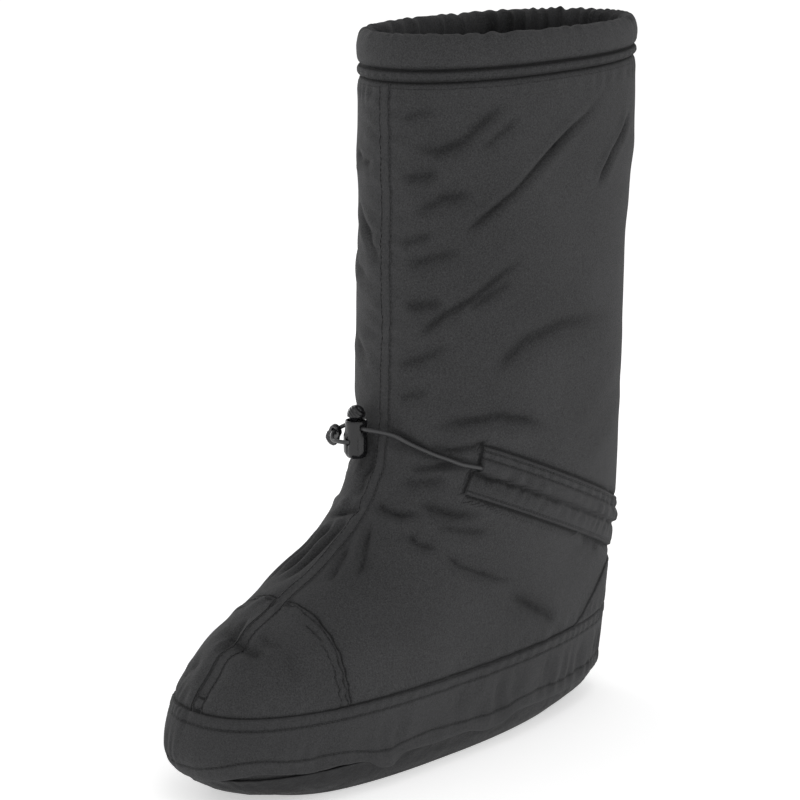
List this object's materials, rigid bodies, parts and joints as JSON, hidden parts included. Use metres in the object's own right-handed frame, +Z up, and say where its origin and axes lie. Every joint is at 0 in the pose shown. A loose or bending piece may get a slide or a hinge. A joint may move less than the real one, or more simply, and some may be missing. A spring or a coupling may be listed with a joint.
{
  "type": "winter overshoe",
  "caption": "Tall padded fabric overshoe that pulls on over a shoe: hollow upper, soft flat sole, rand, drawcord ankle band with a press-button cord lock, and a gathered collar.",
  "frame": {"origin": "on the floor under the centre line, at the middle of the sole's flat", "axes": "+Z up from the sole to the rim, the toe points along -Y, +X is the shoe's own left side"},
  "size_m": [0.138, 0.3621, 0.436],
  "materials": {
    "shell_nylon": "matte charcoal woven nylon",
    "coated_nylon": "coated heavy nylon of the rand and the sole, faint sheen",
    "lining": "dark quilted lining",
    "cord": "braided elastic cord",
    "lock_plastic": "black moulded plastic, satin"
  },
  "bodies": {
    "overshoe": {"sole": "coated_nylon", "insole": "lining", "upper": "shell_nylon", "rand": "coated_nylon", "toe_panel_left": "shell_nylon", "toe_panel_right": "shell_nylon", "heel_counter": "shell_nylon", "front_seam": "shell_nylon", "ankle_band": "shell_nylon", "collar": "shell_nylon", "cord_left": "cord", "cord_right": "cord", "cord_loop": "cord", "cord_tab": "lock_plastic", "lock_barrel": "lock_plastic"},
    "lock_button": {"lock_button": "lock_plastic"}
  },
  "joints": [
    {"name": "button_press", "type": "slide", "parent": "overshoe", "child": "lock_button", "axis": [0, 0, -1], "range_m": [0, 0.004], "stiffness_N_per_m": 700}
  ]
}
